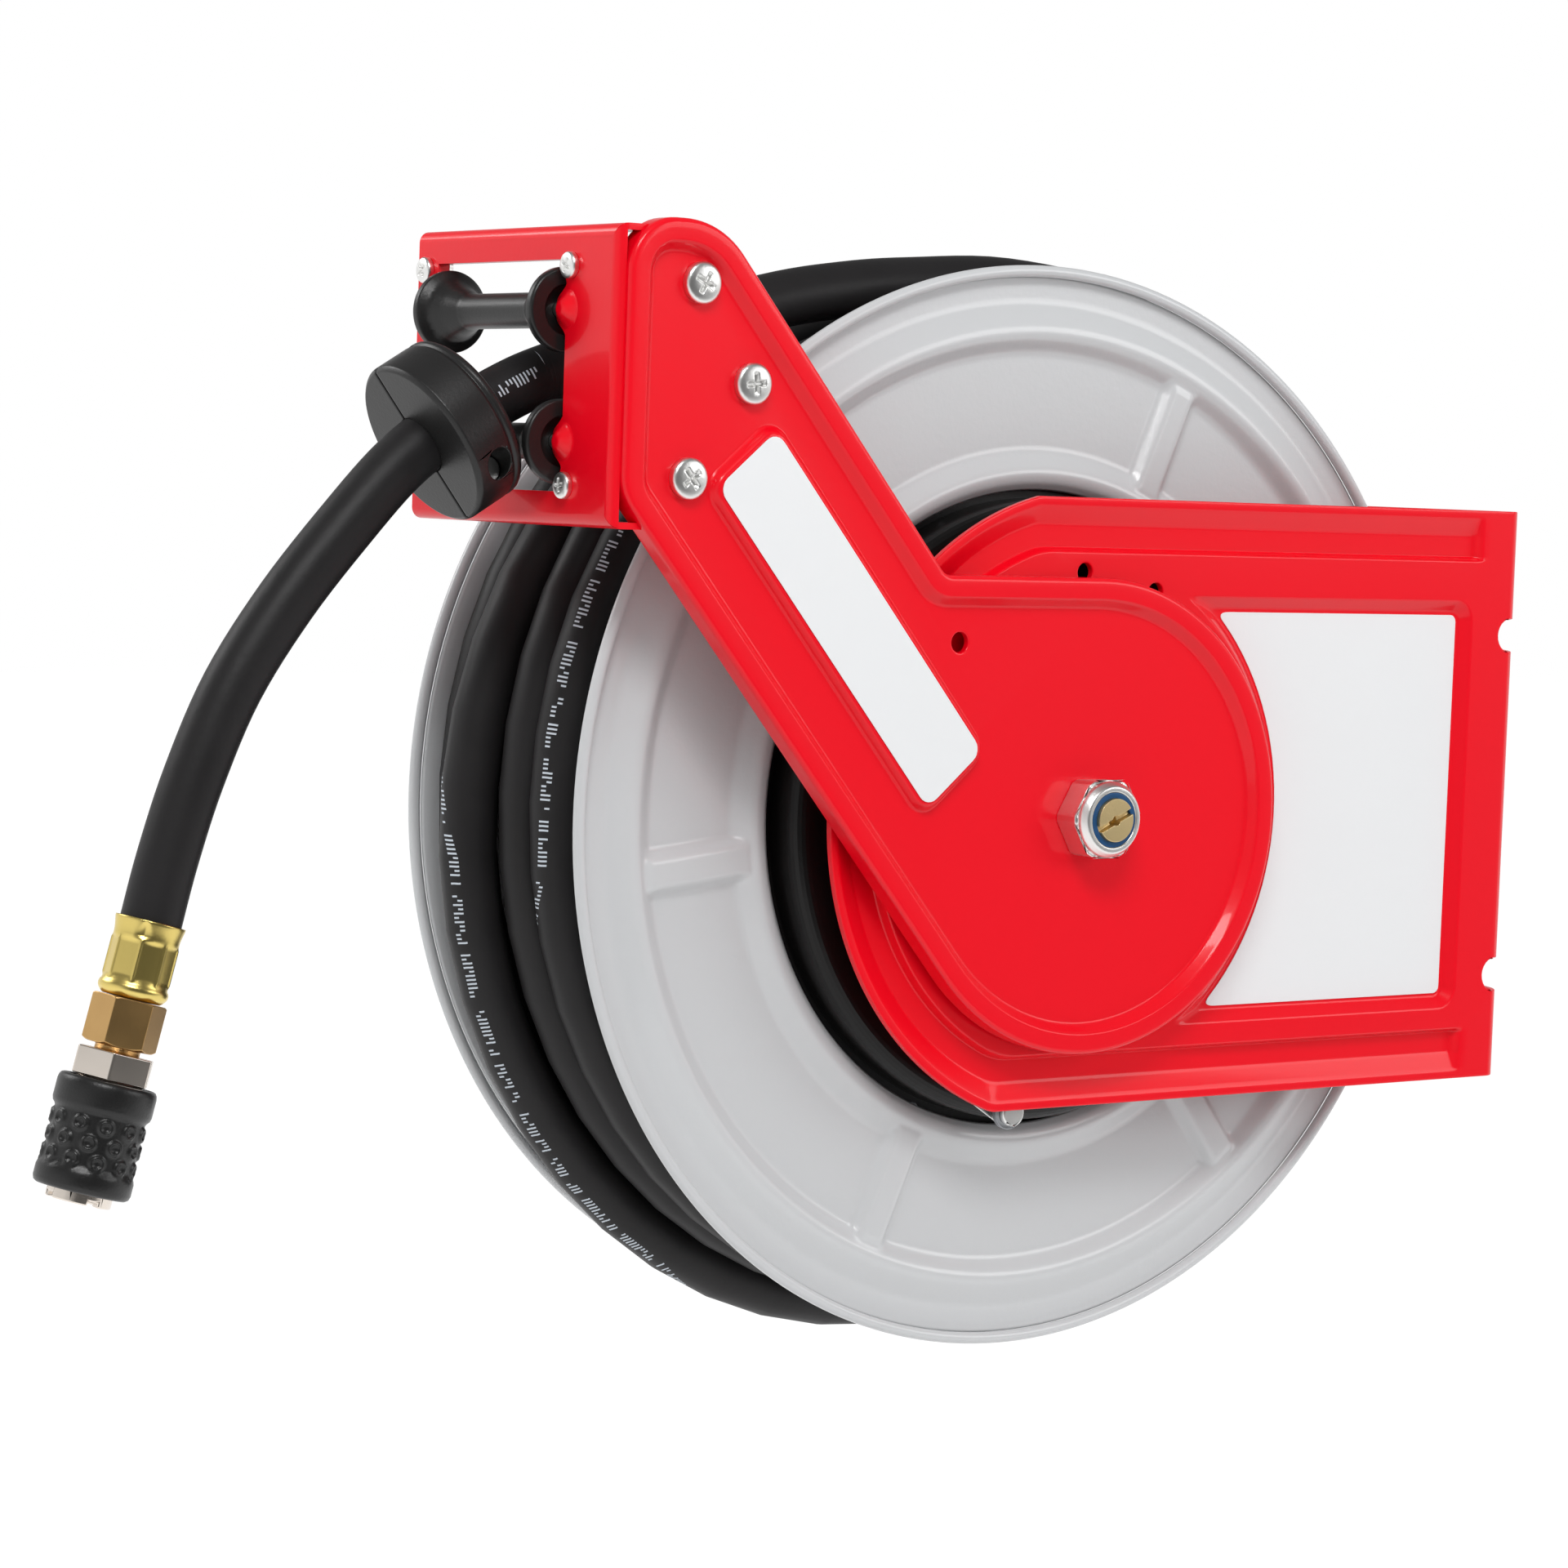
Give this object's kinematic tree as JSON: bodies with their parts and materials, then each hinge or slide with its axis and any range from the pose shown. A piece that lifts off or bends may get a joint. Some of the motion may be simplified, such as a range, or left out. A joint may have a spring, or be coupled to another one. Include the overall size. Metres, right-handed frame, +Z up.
{
  "type": "retractable air hose reel",
  "caption": "Wall-mounted spring-retractable air hose reel with sheet-steel drum, swinging guide arm with rollers, rubber hose, stopper and quick coupling.",
  "frame": {"origin": "middle of the foot's outer face, level with the axle and between the four fixings", "axes": "+X into the wall, +Y along the axle away from the bracket plate, +Z up"},
  "size_m": [0.5313, 0.1636, 0.3605],
  "materials": {
    "red_paint": "glossy powder coat",
    "grey_paint": "satin paint",
    "black_paint": "satin black paint",
    "label": "satin label film",
    "zinc": "bright zinc plate",
    "steel": "plain steel",
    "spring_steel": "blued spring steel",
    "brass": "turned brass",
    "bronze": "sintered bronze",
    "gold_sleeve": "bright passivated",
    "nickel": "nickel plate",
    "hose_rubber": "matt black, fabric-wrapped cover",
    "grip_rubber": "satin rubber",
    "black_plastic": "satin moulded",
    "nylon": "blue nylon",
    "seal": "nitrile"
  },
  "bodies": {
    "bracket": {"base_bracket": "red_paint", "base_label": "label", "main_axle": "brass", "axle_nut": "zinc", "nut_lock_ring": "nylon", "arm_spacer": "steel", "ratchet_wheel": "steel", "spring_arbor": "steel", "arbor_pin": "steel", "thrust_washer": "steel", "retaining_ring": "spring_steel"},
    "drum": {"front_disc": "grey_paint", "rear_disc": "grey_paint", "drum_barrel": "grey_paint", "spring_cover": "black_paint", "spring_case": "black_paint", "case_rivets": "steel", "mainspring": "spring_steel", "front_bush": "bronze", "rear_bush": "bronze", "swivel_housing": "brass", "swivel_seals": "seal", "swivel_screws": "zinc", "outlet_fitting": "brass", "inner_hose": "hose_rubber", "inner_ferrule": "gold_sleeve", "hose_winding": "hose_rubber", "pawl_screw": "zinc"},
    "pawl": {"pawl": "steel", "pawl_spring": "spring_steel"},
    "arm": {"guide_arm": "red_paint", "arm_label": "label", "bracket_screws": "zinc", "bracket_nuts": "zinc", "guide_bracket": "red_paint", "guide_clamp_plate": "red_paint", "guide_screws": "zinc", "guide_nuts": "zinc", "roller_pins": "zinc", "stopper_front_half": "black_plastic", "stopper_rear_half": "black_plastic", "stopper_screws": "zinc", "stopper_nuts": "zinc", "hose_run": "hose_rubber", "hose_ferrule": "gold_sleeve", "union_nut": "brass", "coupling_body": "nickel", "coupling_balls": "nickel", "coupling_valve": "brass", "valve_spring": "spring_steel", "sleeve_spring": "spring_steel"},
    "roller_top": {"roller_top": "black_plastic"},
    "roller_bottom": {"roller_bottom": "black_plastic"},
    "sleeve": {"coupling_sleeve": "grip_rubber"}
  },
  "joints": [
    {"name": "drum_spin", "type": "hinge", "parent": "bracket", "child": "drum", "pos_m": [-0.194, 0, 0], "axis": [0, 1, 0], "continuous": true},
    {"name": "pawl_swing", "type": "hinge", "parent": "drum", "child": "pawl", "pos_m": [-0.20925, 0, -0.0963], "axis": [0, -1, 0], "range_deg": [0, 24], "stiffness_Nm_per_rad": 0.05, "springref_deg": -17.19},
    {"name": "arm_swing", "type": "hinge", "parent": "bracket", "child": "arm", "pos_m": [-0.194, 0, 0], "axis": [0, 1, 0], "range_deg": [-67.5, 45]},
    {"name": "roller_top_spin", "type": "hinge", "parent": "arm", "child": "roller_top", "pos_m": [-0.378, 0, 0.1515], "axis": [0, 1, 0], "continuous": true},
    {"name": "roller_bottom_spin", "type": "hinge", "parent": "arm", "child": "roller_bottom", "pos_m": [-0.378, 0, 0.1125], "axis": [0, 1, 0], "continuous": true},
    {"name": "sleeve_slide", "type": "slide", "parent": "arm", "child": "sleeve", "axis": [0.2559, 0, 0.9667], "range_m": [0, 0.004], "stiffness_N_per_m": 800, "springref_m": -0.004, "deforming": ["sleeve_spring"]}
  ]
}
